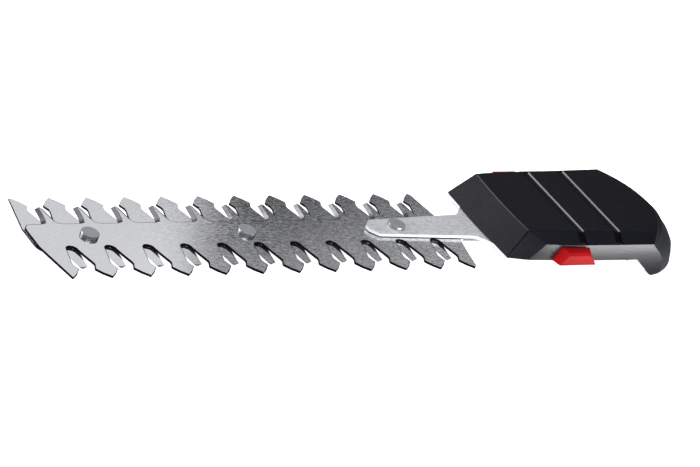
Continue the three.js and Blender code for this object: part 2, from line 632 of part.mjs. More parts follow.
function greaseFelt() {
  const halfX = YOKE_WINDOW.halfX + YOKE_BAR - STROKE / 2;
  const halfY = YOKE_WINDOW.halfY + YOKE_BAR;
  const pad = block(CRANK_X - halfX, CRANK_X + halfX, -halfY, halfY, LOWER_HIGH_Z + FELT_GAP, -FELT_GAP);
  return pad.subtract(disc(ECCENTRIC_R + ECCENTRIC_OFFSET + FELT_HOLE_SPARE, CRANK_X, 0, -FAR, FAR));
}

function coverScrew(x, y) {
  const shaft = disc(SCREW_R, x, y, -SCREW_HEAD_H / 2, SCREW_TOP_Z, SCREW_SIDES);
  const head = disc(SCREW_HEAD_R, x, y, -SCREW_HEAD_H, -RUNNING_GAP, SCREW_SIDES);
  const recess = disc(SCREW_RECESS.r, x, y, -FAR, SCREW_RECESS.depth - SCREW_HEAD_H, SCREW_RECESS.sides);
  return shaft.add(head).subtract(recess);
}

// ---- assembly ----
const group = new THREE.Group();
group.position.z = BLADE_Z;

function place(name, solid, look) {
  const geometry = solid.isBufferGeometry ? solid : toGeometry(solid);
  const mesh = new THREE.Mesh(geometry, look);
  mesh.name = name;
  group.add(mesh);
}

const shell = housingShell();
place('cover_shell', coverShell(shell), BLACK_PLASTIC);
place('lower_housing', lowerHousing(shell), GREY_PLASTIC);
place('base_plate', basePlate(), PLATE_STEEL);
place('upper_blade', upperBlade(), BLADE_STEEL);
place('lower_blade', lowerBlade(), BLADE_STEEL);
RIVET_X.forEach((x, i) => {
  const seatZ = i === RIVET_X.length - 1 ? PLATE_THICK : 0;
  place(`blade_rivet_${RIVET_NAMES[i]}`, bladeRivet(x, seatZ), RIVET_STEEL);
  place(`guide_bush_${RIVET_NAMES[i]}`, guideBush(x), BRONZE);
  place(`rivet_washer_${RIVET_NAMES[i]}`, rivetWasher(x), RIVET_STEEL);
});
place('drive_crank', driveCrank(), RIVET_STEEL);
place('crank_bearing', crankBearing(), BRONZE);
place('thrust_washer', thrustWasher(), RIVET_STEEL);
place('crank_circlip', crankCirclip(), SPRING_STEEL);
place('grease_felt', greaseFelt(), FELT);
[['left', 1], ['right', -1]].forEach(([name, side]) => {
  place(`release_button_${name}`, releaseButton(side), RED_PLASTIC);
  place(`latch_plate_${name}`, latchPlate(side), PLATE_STEEL);
  place(`button_spring_${name}`, springGeometry(side), SPRING_STEEL);
  place(`shank_rivet_${name}`, shankRivet(side), RIVET_STEEL);
});
SCREW_PLACES.forEach(([x, y], i) => {
  place(`cover_screw_${i + 1}`, coverScrew(x, y), RIVET_STEEL);
});

export default group;
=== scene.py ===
"""Looks for the hedge trimmer blade attachment: detailed shells, ground blades and studio light."""

import math

import bmesh
import bpy
from mathutils import Matrix, Quaternion, Vector


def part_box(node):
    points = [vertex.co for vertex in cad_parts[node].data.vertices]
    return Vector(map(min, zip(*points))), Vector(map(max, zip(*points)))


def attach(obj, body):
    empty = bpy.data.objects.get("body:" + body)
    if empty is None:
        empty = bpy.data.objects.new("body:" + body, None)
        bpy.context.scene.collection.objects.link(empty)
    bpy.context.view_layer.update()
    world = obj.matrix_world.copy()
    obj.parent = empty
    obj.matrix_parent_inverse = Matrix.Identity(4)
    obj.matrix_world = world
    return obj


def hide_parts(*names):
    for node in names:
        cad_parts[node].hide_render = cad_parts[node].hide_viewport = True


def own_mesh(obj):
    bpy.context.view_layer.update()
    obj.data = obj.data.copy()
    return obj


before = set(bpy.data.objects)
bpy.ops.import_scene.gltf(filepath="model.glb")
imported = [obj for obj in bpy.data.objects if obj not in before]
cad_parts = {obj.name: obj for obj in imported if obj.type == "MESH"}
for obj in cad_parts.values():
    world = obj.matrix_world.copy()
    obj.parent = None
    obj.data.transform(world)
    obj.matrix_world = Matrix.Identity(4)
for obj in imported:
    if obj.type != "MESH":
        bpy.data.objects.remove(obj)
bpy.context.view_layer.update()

MM = 0.001


def box_mm(node):
    """The lowest and highest corner of a CAD node, in millimetres."""
    low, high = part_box(node)
    return low / MM, high / MM


# ---- places read from the frame, in millimetres ----
BLADE_LOW, BLADE_HIGH = box_mm("upper_blade")
LOWER_LOW, LOWER_HIGH = box_mm("lower_blade")
PLATE_LOW, PLATE_HIGH = box_mm("base_plate")
BEARING_LOW, BEARING_HIGH = box_mm("crank_bearing")
BUTTON_LOW, BUTTON_HIGH = box_mm("release_button_left")
RIVETS = ("front", "middle", "rear")
BLADE_Z = BLADE_HIGH.z
CRANK_X = (BEARING_LOW.x + BEARING_HIGH.x) / 2

# ---- blade pattern ----
NOSE_X = BLADE_LOW.x
PITCH = 16.5
TEETH = 12
FIRST_TOOTH_X = NOSE_X + 4.5
LAST_TOOTH_X = FIRST_TOOTH_X + PITCH * (TEETH - 1)
BODY_EDGE = 7.5
ROOT_Y, ROOT_R = 8.9, 2.4
FLANK_HALF, FLANK_Y = 5.0, 12.4
NECK_HALF, NECK_Y = 3.6, 17.7
SHOULDER_HALF, SHOULDER_Y = 4.75, 20.8
TIP_Y = BLADE_LOW.y * -1
CUTTER_TIP_Y = 18.3
CUTTER_EDGE = (5.4, 3.9, 3.2, 2.5, 1.85)
CUTTER_CREST = (4.6, 2.5, 1.7, 1.05, 0.3)
CUTTER_BEVEL_Y = 13.7
SHANK_X = LAST_TOOTH_X + 4
SHANK_STEP_X = LAST_TOOTH_X + 6
SHANK_HALF = 7.2
UPPER_SHANK_HALF = 5.8
GUIDE_SLOT = (3.05, 4.4)
YOKE_WINDOW = (15.5, 11.5)
YOKE_BAR = 3.5
ROOT_STEPS = 16
# Width of the thin rim round each blade's top face that gets the near-black edge material: a painted shade
# line along the edge.
EDGE_SHADE_RIM = 0.26
BEVEL_LEAN = 0.2
BLADE_EDGE_ROUND = 0.05

# ---- rivets ----
RIVET_FOOT_R, RIVET_SHANK_R = 3.0, 2.0
RIVET_FOOT_HIGH, RIVET_HEAD_HIGH = 1.0, 1.45
RIVET_ROUND = 0.18
RIVET_HOLE_R = 2.05

# ---- base plate ----
PLATE_REBATE = 0.22
TONGUE_NOSE = [(PLATE_LOW.x, 1.2), (5.2, 4.7)]
TONGUE_FLARE = [(49.3, 7.38), (50.1, 7.8), (54.2, 12.0), (54.7, 12.6)]
PLATE_BACK = [(54.8, 22.0), (118, 22.2), (PLATE_HIGH.x, 16.2)]
REBATE_NOSE_X = 10
SOCKET_R = 5
SCREW_HOLE_R = 1.7
SHANK_RIVET = (64, 4)
POST_X, POST_Y = (81, 89), (15.6, 21.2)

# ---- housing, heights above the blade's top face ----
ACROSS = 24
AROUND_BACK = 28
FRONT_BOWS = (1.3, 0.9)
FOOT_Z, SHOULDER_Z, CROWN_Z, HOOK_Z = 1.8, 8.9, 12.3, -BLADE_Z
FRONT_FOOT = (55.0, 22.3)
FRONT_CROWN = (62.8, 19.65)
CORNER_FOOT = (64.2, 24.3)
CORNER_SHOULDER = (69.8, 24.6)
WAIST_X = 85.2
WAIST_CROWN_HALF, WAIST_SHOULDER_HALF = 20.5, 25.7
MID_WALL_X = 104.0
# Each arc of the rounded back: rearmost x, x where it leaves the side, half width, power of the curve.
CROWN_BACK = (135.9, 126.4, 22.1, 2)
MIDDLE_BACK = (138.7, 124.9, 24.25, 2.03)
SHOULDER_BACK = (141.4, 123.4, 26.1, 2.05)
FRONT_FOOT_RISE = 2.0
CORNER_DROP = 0.15
HOUSING_SHARES = (0.0, 0.35, 0.55, 0.65, 0.75, 0.9, 1.0)
LEG_TOP = (118.4, 1.6)
LEG_FOOT_X = 127.0
FOOT_ROUND = 1.8
GROOVE_ENDS = (89.9, 107.9)
GROOVE_WIDTH = 3.6
GROOVE_DEPTH = 0.75
GROOVE_LEAN = 0.33
# From each groove's start: the front wall runs GROOVE_WALL and the dark floor strip reaches GROOVE_SHADE;
# both carry painted shade.
GROOVE_WALL, GROOVE_SHADE = 0.3, 1.5
CROWN_SLOPE, CHAMFER_SLOPE = 0.3, 3.4
CREASE = 0.35
WALL = 2.2
COVER_WALL = WALL - 0.3
SEAM = 0.14
FAR = 60
BEYOND = 160

# ---- buttons: rings of (y, foot half, top half, low z, high z), then the face at the CAD's own y ----
BUTTON_RINGS = [(23.4, 10.1, 6.9, 1.9, 7.6), (25.6, 10.1, 6.9, 1.9, 7.6), (28.4, 9.35, 6.25, 1.9, 7.4)]
BUTTON_FACE = (9.1, 6.0, 1.9, 6.3)
BUTTON_BACK_SLANT = 1.5

# ---- button springs ----
SPRING_WIRE_R = 0.3
ALONG_Y = Vector((0, 1, 0))
SPRING_TURNS, SPRING_STEPS, SPRING_SIDES = 5, 20, 8


# ---- mesh helpers ----
def link(obj):
    bpy.context.scene.collection.objects.link(obj)
    return obj


def object_from(name, bm):
    """A linked object from a bmesh drawn in millimetres."""
    bmesh.ops.scale(bm, vec=(MM, MM, MM), verts=bm.verts)
    bmesh.ops.recalc_face_normals(bm, faces=bm.faces)
    mesh = bpy.data.meshes.new(name)
    bm.to_mesh(mesh)
    bm.free()
    return link(bpy.data.objects.new(name, mesh))


def bake(obj):
    """Replaces the mesh with its evaluated form and clears the modifiers."""
    graph = bpy.context.evaluated_depsgraph_get()
    mesh = bpy.data.meshes.new_from_object(obj.evaluated_get(graph))
    obj.modifiers.clear()
    old = obj.data
    obj.data = mesh
    bpy.data.meshes.remove(old)
    return obj


def carve(obj, *cutters):
    """Cuts each cutter out of the piece and removes the cutter."""
    for cutter in cutters:
        modifier = obj.modifiers.new("carve", "BOOLEAN")
        modifier.operation = "DIFFERENCE"
        modifier.solver = "EXACT"
        modifier.object = cutter
        bake(obj)
        bpy.data.objects.remove(cutter)
    return obj


def soften(obj, width, segments=2, angle=28):
    """Rounds the sharp edges by width in millimetres and keeps the flats flat."""
    for polygon in obj.data.polygons:
        polygon.use_smooth = True
    modifier = obj.modifiers.new("edges", "BEVEL")
    modifier.width = width * MM
    modifier.segments = segments
    modifier.limit_method = "ANGLE"
    modifier.angle_limit = math.radians(angle)
    modifier.harden_normals = True
    modifier.miter_outer = "MITER_ARC"
    return obj


def finish_piece(obj, body, slot, node, *materials):
    for material in materials:
        obj.data.materials.append(material)
    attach(obj, body)
    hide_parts(node)
    return obj


def prism(name, outline, low, high, axis="Z"):
    """A closed prism over an outline. Axis Y draws the outline in XZ, axis Z in XY."""
    bm = bmesh.new()
    rings = []
    for level in (low, high):
        if axis == "Z":
            rings.append([bm.verts.new((a, b, level)) for a, b in outline])
        else:
            rings.append([bm.verts.new((a, level, b)) for a, b in outline])
    count = len(outline)
    bm.faces.new(rings[0])
    bm.faces.new(rings[1])
    for i in range(count):
        j = (i + 1) % count
        bm.faces.new((rings[0][i], rings[0][j], rings[1][j], rings[1][i]))
    return object_from(name, bm)


def circle(radius, x, y, sides=48, start=0.0):
    turns = [start + 2 * math.pi * i / sides for i in range(sides)]
    return [(x + radius * math.cos(t), y + radius * math.sin(t)) for t in turns]


def disc(radius, x, y, low, high, sides=48):
    return prism("cutter", circle(radius, x, y, sides), low, high)


def block(x0, x1, y0, y1, z0, z1):
    return prism("cutter", [(x0, y0), (x1, y0), (x1, y1), (x0, y1)], z0, z1)


def lathe(name, profile, x, y, sides=64):
    """A turned piece: profile points are (radius, height); a radius of 0 closes it on the axis."""
    bm = bmesh.new()
    rings = []
    for radius, height in profile:
        if radius == 0:
            rings.append([bm.verts.new((x, y, height))])
        else:
            rings.append([bm.verts.new((px, py, height)) for px, py in circle(radius, x, y, sides)])
    closed = profile[0][0] > 0
    pairs = list(zip(rings, rings[1:]))
    if closed:
        pairs.append((rings[-1], rings[0]))
    for low, high in pairs:
        for i in range(sides):
            j = (i + 1) % sides
            if len(low) == 1:
                bm.faces.new((low[0], high[i], high[j]))
            elif len(high) == 1:
                bm.faces.new((low[i], low[j], high[0]))
            else:
                bm.faces.new((low[i], low[j], high[j], high[i]))
    return object_from(name, bm)


# ---- materials ----
NEVER_CALM = (-2.0, -1.0)
CALM_TIP = (-0.1, -0.06)
CALM_SHARE = 0.12


class Nodes:
    """Short names for building a node tree."""

    def __init__(self, name):
        self.material = bpy.data.materials.new(name)
        self.material.use_nodes = True
        self.tree = self.material.node_tree
        self.shader = self.tree.nodes["Principled BSDF"]
        self.place = self.tree.nodes.new("ShaderNodeTexCoord").outputs["Object"]

    def noise(self, scale, detail=3.0, roughness=0.55):
        """Noise whose cells repeat scale=(x, y, z) times a metre."""
        mapping = self.tree.nodes.new("ShaderNodeMapping")
        mapping.inputs["Scale"].default_value = scale
        self.tree.links.new(self.place, mapping.inputs["Vector"])
        noise = self.tree.nodes.new("ShaderNodeTexNoise")
        noise.inputs["Scale"].default_value = 1.0
        noise.inputs["Detail"].default_value = detail
        noise.inputs["Roughness"].default_value = roughness
        self.tree.links.new(mapping.outputs["Vector"], noise.inputs["Vector"])
        return noise.outputs["Fac"]

    def grains(self, scale):
        mapping = self.tree.nodes.new("ShaderNodeMapping")
        mapping.inputs["Scale"].default_value = scale
        self.tree.links.new(self.place, mapping.inputs["Vector"])
        cells = self.tree.nodes.new("ShaderNodeTexVoronoi")
        cells.inputs["Scale"].default_value = 1.0
        self.tree.links.new(mapping.outputs["Vector"], cells.inputs["Vector"])
        return cells.outputs["Distance"]

    def span(self, value, low, high, start=0.0, end=1.0):
        remap = self.tree.nodes.new("ShaderNodeMapRange")
        remap.inputs["From Min"].default_value = start
        remap.inputs["From Max"].default_value = end
        remap.inputs["To Min"].default_value = low
        remap.inputs["To Max"].default_value = high
        self.tree.links.new(value, remap.inputs["Value"])
        return remap.outputs["Result"]

    def maths(self, operation, a, b):
        node = self.tree.nodes.new("ShaderNodeMath")
        node.operation = operation
        for socket, value in zip(node.inputs, (a, b)):
            if isinstance(value, (int, float)):
                socket.default_value = value
            else:
                self.tree.links.new(value, socket)
        return node.outputs["Value"]

    def blend(self, share, first, second):
        ramp = self.tree.nodes.new("ShaderNodeValToRGB")
        ramp.color_ramp.elements[0].color = (*first, 1)
        ramp.color_ramp.elements[1].color = (*second, 1)
        self.tree.links.new(share, ramp.inputs["Fac"])
        return ramp.outputs["Color"]

    def bump(self, height, strength, distance):
        bump = self.tree.nodes.new("ShaderNodeBump")
        bump.inputs["Strength"].default_value = strength
        bump.inputs["Distance"].default_value = distance
        self.tree.links.new(height, bump.inputs["Height"])
        self.tree.links.new(bump.outputs["Normal"], self.shader.inputs["Normal"])

    def join(self, value, socket):
        self.tree.links.new(value, self.shader.inputs[socket])

    def set(self, **values):
        for socket, value in values.items():
            self.shader.inputs[socket.replace("_", " ")].default_value = value
        return self


def moulded_plastic(name, dark, light, rough, grain=900.0, strength=0.35, specular=0.5):
    """Spark-eroded plastic: a fine pebble grain, faint cloudy gloss and a little colour drift."""
    n = Nodes(name)
    n.set(Specular_IOR_Level=specular)
    cloud = n.noise((45, 45, 45), 4)
    n.join(n.blend(n.span(cloud, 0, 1, 0.3, 0.7), dark, light), "Base Color")
    fine = n.noise((grain * 2.2,) * 3, 2, 0.7)
    broad = n.span(cloud, rough - 0.05, rough + 0.04, 0.3, 0.7)
    n.join(n.maths("ADD", broad, n.span(fine, -0.05, 0.05)), "Roughness")
    pebble = n.maths("ADD", n.grains((grain,) * 3), fine)
    n.bump(pebble, strength, 0.00006)
    return n.material


def ground_steel(name, dark, light, rough, along=300.0, across=1000.0, bump=0.00006, metallic=1.0,
                 calm=NEVER_CALM):
    """Steel ground along X: short fine scratches, full from the second calm x and faint before the first."""
    n = Nodes(name)
    n.set(Metallic=metallic)
    scratch = n.noise((along, across, across), 4, 0.65)
    fine = n.noise((along * 2.5, across * 2.2, across * 2.2), 2, 0.6)
    patch = n.noise((28, 60, 60), 2)
    mix = n.maths("ADD", n.maths("MULTIPLY", scratch, 0.6), n.maths("MULTIPLY", fine, 0.3))
    mix = n.maths("ADD", mix, n.maths("MULTIPLY", patch, 0.1))
    split = n.tree.nodes.new("ShaderNodeSeparateXYZ")
    n.tree.links.new(n.place, split.inputs["Vector"])
    busy = n.span(split.outputs["X"], CALM_SHARE, 1.0, *calm)
    mix = n.maths("ADD", n.maths("MULTIPLY", n.maths("SUBTRACT", mix, 0.5), busy), 0.5)
    n.join(n.blend(n.span(mix, 0, 1, 0.38, 0.62), dark, light), "Base Color")
    n.join(n.span(mix, rough - 0.04, rough + 0.06, 0.4, 0.6), "Roughness")
    n.bump(n.maths("MULTIPLY", scratch, busy), 0.6, bump)
    return n.material


def turned_steel(name, x, y, dark, light, rough, metallic=1.0):
    """Steel turned on a lathe about a vertical line at x, y in metres: rings of fine grooves."""
    n = Nodes(name)
    n.set(Metallic=metallic)
    split = n.tree.nodes.new("ShaderNodeSeparateXYZ")
    n.tree.links.new(n.place, split.inputs["Vector"])
    dx = n.maths("SUBTRACT", split.outputs["X"], x)
    dy = n.maths("SUBTRACT", split.outputs["Y"], y)
    radius = n.maths("SQRT", n.maths("ADD", n.maths("MULTIPLY", dx, dx), n.maths("MULTIPLY", dy, dy)), 0.0)
    join = n.tree.nodes.new("ShaderNodeCombineXYZ")
    n.tree.links.new(n.maths("MULTIPLY", radius, 9000.0), join.inputs["X"])
    n.tree.links.new(n.maths("MULTIPLY", split.outputs["Z"], 4000.0), join.inputs["Y"])
    rings = n.tree.nodes.new("ShaderNodeTexNoise")
    rings.inputs["Scale"].default_value = 1.0
    rings.inputs["Detail"].default_value = 2.0
    n.tree.links.new(join.outputs["Vector"], rings.inputs["Vector"])
    speck = n.noise((1500, 1500, 1500), 3)
    mix = n.maths("ADD", n.maths("MULTIPLY", rings.outputs["Fac"], 0.6), n.maths("MULTIPLY", speck, 0.4))
    n.join(n.blend(n.span(mix, 0, 1, 0.35, 0.65), dark, light), "Base Color")
    n.join(n.span(mix, rough - 0.06, rough + 0.08, 0.35, 0.65), "Roughness")
    n.bump(mix, 0.25, 0.000015)
    return n.material


def porous_bronze(name):
    """Sintered bronze with dark pores."""
    n = Nodes(name)
    n.set(Metallic=1.0)
    pores = n.grains((2600,) * 3)
    n.join(n.blend(pores, (0.2, 0.12, 0.05), (0.6, 0.38, 0.17)), "Base Color")
    n.join(n.span(pores, 0.55, 0.35), "Roughness")
    n.bump(pores, 0.4, 0.00004)
    return n.material


def greased_felt(name):
    """Matted fibres, darker and glossier where the grease has soaked in."""
    n = Nodes(name)
    fibre = n.noise((2400, 2400, 2400), 5, 0.75)
    patch = n.noise((140, 140, 140), 3)
    soaked = n.maths("MULTIPLY", fibre, patch)
    n.join(n.blend(soaked, (0.05, 0.045, 0.035), (0.5, 0.46, 0.38)), "Base Color")
    n.join(n.span(patch, 0.55, 0.95, 0.3, 0.7), "Roughness")
    n.bump(fibre, 0.8, 0.0002)
    return n.material


BLACK = moulded_plastic("black_plastic", (0.0016, 0.0018, 0.0038), (0.0034, 0.0037, 0.0068), 0.42,
                        strength=0.6, specular=0.22)
# Smoother plastic for the groove ramps and the front crease; its colour, lighter than the black cover, is a
# painted highlight.
RAMP_PAINTED_HIGHLIGHT = moulded_plastic("smooth_ramp_painted_highlight", (0.02, 0.02, 0.022), (0.03, 0.03, 0.033), 0.24,
                              strength=0.05)
# Painted shade: near-black plastic for the groove's front wall, the floor strip beside it and the groove
# where it crosses the chamfers.
GROOVE_PAINTED_SHADE = moulded_plastic("groove_painted_shade", (0.0006, 0.0006, 0.0007), (0.001, 0.001, 0.0012), 0.8,
                              specular=0.1)
FRAME_BLACK = moulded_plastic("frame_plastic", (0.006, 0.0061, 0.0075), (0.01, 0.0101, 0.0122), 0.36,
                              specular=0.9)
RED = moulded_plastic("red_plastic", (0.25, 0.0025, 0.004), (0.32, 0.004, 0.006), 0.5,
                      grain=1200.0, strength=0.15, specular=0.08)
BLADE_STEEL = ground_steel("ground_blade_steel", (0.26, 0.265, 0.29), (0.86, 0.865, 0.885), 0.13,
                           along=480, across=2100, bump=0.00002, calm=CALM_TIP)
# Painted shade: near-black steel on the blades' side faces, their thin top rim and the plate's rebate,
# standing in for the dark surroundings these edges mirror.
EDGE_PAINTED_SHADE = ground_steel("edge_painted_shade", (0.005, 0.005, 0.006), (0.016, 0.016, 0.018), 0.55,
                          along=900.0, across=900.0, bump=0.00002)
PLATE_STEEL = ground_steel("brushed_plate_steel", (0.42, 0.425, 0.435), (0.74, 0.745, 0.755), 0.45,
                           along=500.0, across=1500.0, metallic=0.35)
# Painted highlight: a lighter, barely metallic copy of the plate steel on the plate's upright faces and the
# upper blade's shank edges.
EDGE_PAINTED_HIGHLIGHT = ground_steel("plate_edge_painted_highlight", (0.84, 0.84, 0.85), (0.93, 0.93, 0.94), 0.5,
                          along=900.0, across=1500.0, metallic=0.1)
WIRE_STEEL = ground_steel("spring_wire", (0.3, 0.3, 0.31), (0.55, 0.55, 0.57), 0.3, 900.0, 900.0)
BRONZE = porous_bronze("sintered_bronze")
FELT = greased_felt("greased_felt")


# ---- blades ----
def guard_tooth(centre):
    side = [
        (FLANK_HALF, FLANK_Y),
        (NECK_HALF + 0.12, NECK_Y - 0.9),
        (NECK_HALF, NECK_Y - 0.4),
        (NECK_HALF + 0.03, NECK_Y + 0.4),
        (NECK_HALF + 0.2, NECK_Y + 0.9),
        (SHOULDER_HALF - 0.12, SHOULDER_Y - 0.45),
        (SHOULDER_HALF, SHOULDER_Y),
        (SHOULDER_HALF - 0.15, SHOULDER_Y + 0.3),
        (SHOULDER_HALF / 2 + 0.25, (SHOULDER_Y + TIP_Y) / 2 + 0.25),
        (0.35, TIP_Y - 0.25),
    ]
    left = [(centre - half, y) for half, y in side]
    right = [(centre + half, y) for half, y in reversed(side)]
    return left + [(centre, TIP_Y)] + right


def guard_root(centre):
    turns = [math.pi * (1 + i / ROOT_STEPS) for i in range(ROOT_STEPS + 1)]
    return [(centre + ROOT_R * math.cos(t), ROOT_Y + ROOT_R * math.sin(t)) for t in turns]


def cutter_tooth(centre, widths):
    depths = (BODY_EDGE, BODY_EDGE + 0.6, BODY_EDGE + 2.5, CUTTER_BEVEL_Y, CUTTER_TIP_Y)
    right = [(centre + half, -y) for half, y in zip(widths, depths)]
    left = [(centre - half, -y) for half, y in zip(reversed(widths), reversed(depths))]
    return right + left


def blade_outline(widths, tail):
    """Guard teeth towards +Y, cutting teeth towards -Y, from the nose round to the tail."""
    points = [(NOSE_X + 3.3, -BODY_EDGE), (NOSE_X + 1.4, -BODY_EDGE + 0.5), (NOSE_X + 0.35, -BODY_EDGE + 2)]
    points += [(NOSE_X, -BODY_EDGE + 4), (NOSE_X, 6.5), (FIRST_TOOTH_X - 0.5, TIP_Y)]
    first = guard_tooth(FIRST_TOOTH_X)
    points += first[len(first) // 2 + 1:]
    for k in range(1, TEETH):
        centre = FIRST_TOOTH_X + PITCH * k
        points += guard_root(centre - PITCH / 2)
        tooth = guard_tooth(centre)
        points += tooth[:len(tooth) // 2 + 1] if k == TEETH - 1 else tooth
    points += [(LAST_TOOTH_X + 1.1, TIP_Y - 1.3), (LAST_TOOTH_X + 4.3, BODY_EDGE)]
    points += tail
    for k in reversed(range(TEETH - 1)):
        points += cutter_tooth(FIRST_TOOTH_X + PITCH * (k + 0.5), widths)
    return points


def blade_piece(name, edge_z, crest_z, tail, side):
    """A blade with ground bevels on its cutting teeth, side faces and a thin top rim in near-black steel as
    painted shade, and shank edges bright as a painted highlight.
    """
    bm = bmesh.new()
    edge = [bm.verts.new((x, side * y, edge_z)) for x, y in blade_outline(CUTTER_EDGE, tail)]
    crest = [bm.verts.new((x, side * y, crest_z)) for x, y in blade_outline(CUTTER_CREST, tail)]
    bm.faces.new(edge)
    flat = bm.faces.new(crest)
    for i in range(len(edge)):
        j = (i + 1) % len(edge)
        face = bm.faces.new((edge[i], edge[j], crest[j], crest[i]))
        # Leaning side faces are the ground bevels; the other side faces get painted shade, and on the shank a
        # painted highlight.
        leans = max((edge[k].co - crest[k].co).xy.length for k in (i, j)) > BEVEL_LEAN
        on_shank = min(edge[i].co.x, edge[j].co.x) > SHANK_X
        face.material_index = 0 if leans else 2 if on_shank else 1
    bm.normal_update()
    # A thin rim round the top face, given the near-black edge material as a painted shade line.
    rim = bmesh.ops.inset_region(bm, faces=[flat], thickness=EDGE_SHADE_RIM)
    for face in rim["faces"]:
        face.material_index = 1
    blade = object_from(name, bm)
    blade.data.materials.append(BLADE_STEEL)
    blade.data.materials.append(EDGE_PAINTED_SHADE)
    blade.data.materials.append(EDGE_PAINTED_HIGHLIGHT)
    return blade


def slot_outline(x, half_width, travel):
    """A slot with round ends whose middles lie travel to each side of x."""
    left = circle(half_width, x - travel, 0, 32, math.pi / 2)[:17]
    right = circle(half_width, x + travel, 0, 32, -math.pi / 2)[:17]
    return left + right


def rivet_x(name):
    low, high = box_mm(f"blade_rivet_{name}")
    return (low.x + high.x) / 2


def upper_blade():
    half = UPPER_SHANK_HALF
    tail = [(SHANK_STEP_X, SHANK_HALF), (SHANK_STEP_X + 1, half), (BLADE_HIGH.x, half), (BLADE_HIGH.x, -half)]
    tail += [(SHANK_STEP_X + 1, -half), (SHANK_STEP_X, -SHANK_HALF), (SHANK_STEP_X - 1.5, -BODY_EDGE)]
    blade = blade_piece("upper_blade_ground", BLADE_LOW.z, BLADE_HIGH.z, tail, -1)
    return finish_piece(soften(blade, BLADE_EDGE_ROUND, 1), "housing", "blade_steel", "upper_blade")


def lower_blade():
    front = CRANK_X - YOKE_WINDOW[0] - YOKE_BAR
    back = CRANK_X + YOKE_WINDOW[0] + YOKE_BAR
    half = YOKE_WINDOW[1] + YOKE_BAR
    tail = [(SHANK_STEP_X, SHANK_HALF), (front - 5, SHANK_HALF), (front, half), (back, half)]
    tail += [(back, -half), (front, -half), (front - 5, -SHANK_HALF), (SHANK_STEP_X, -SHANK_HALF)]
    tail += [(SHANK_STEP_X - 1.5, -BODY_EDGE)]
    blade = blade_piece("lower_blade_ground", LOWER_HIGH.z, LOWER_LOW.z, tail, 1)
    for name in RIVETS:
        outline = slot_outline(rivet_x(name), *GUIDE_SLOT)
        carve(blade, prism("cutter", outline, LOWER_LOW.z - 1, LOWER_HIGH.z + 1))
    carve(blade, block(CRANK_X - YOKE_WINDOW[0], CRANK_X + YOKE_WINDOW[0],
                       -YOKE_WINDOW[1], YOKE_WINDOW[1], LOWER_LOW.z - 1, LOWER_HIGH.z + 1))
    return finish_piece(soften(blade, BLADE_EDGE_ROUND, 1), "moving_blade", "blade_steel", "lower_blade")


# ---- turned pieces ----
def blade_rivet(name):
    low, high = box_mm(f"blade_rivet_{name}")
    x = rivet_x(name)
    head_r = (high.x - low.x) / 2
    seat = high.z - RIVET_HEAD_HIGH
    neck = low.z + RIVET_FOOT_HIGH
    profile = [(0, low.z), (2.7, low.z), (RIVET_FOOT_R, low.z + 0.25), (RIVET_FOOT_R, neck)]
    profile += [(RIVET_SHANK_R, neck), (RIVET_SHANK_R, seat), (head_r, seat), (head_r, high.z - RIVET_ROUND)]
    profile += [(head_r - 0.06, high.z - 0.06), (head_r - RIVET_ROUND, high.z)]
    profile += [(head_r - 2 * RIVET_ROUND, high.z), (0, high.z)]
    rivet = lathe(f"rivet_head_{name}", profile, x, 0)
    steel = turned_steel(f"turned_rivet_{name}", x * MM, 0.0, (0.22, 0.225, 0.235), (0.42, 0.43, 0.445),
                         0.38, metallic=0.45)
    for polygon in rivet.data.polygons:
        polygon.material_index = 1 if abs(polygon.normal.z) < 0.5 else 0
    soften(rivet, 0.04, 1, 35)
    return finish_piece(rivet, "housing", "rivet_steel", f"blade_rivet_{name}", steel, WIRE_STEEL)


def rivet_washer(name):
    low, high = box_mm(f"rivet_washer_{name}")
    outer = (high.x - low.x) / 2
    profile = [(RIVET_HOLE_R, low.z), (outer - 0.15, low.z), (outer, low.z + 0.15), (outer, high.z)]
    profile.append((RIVET_HOLE_R, high.z))
    x = rivet_x(name)
    washer = soften(lathe(f"washer_{name}", profile, x, 0), 0.05, 1, 35)
    steel = turned_steel(f"turned_washer_{name}", x * MM, 0.0, (0.3, 0.3, 0.31), (0.6, 0.6, 0.62), 0.35)
    return finish_piece(washer, "housing", "rivet_steel", f"rivet_washer_{name}", steel)


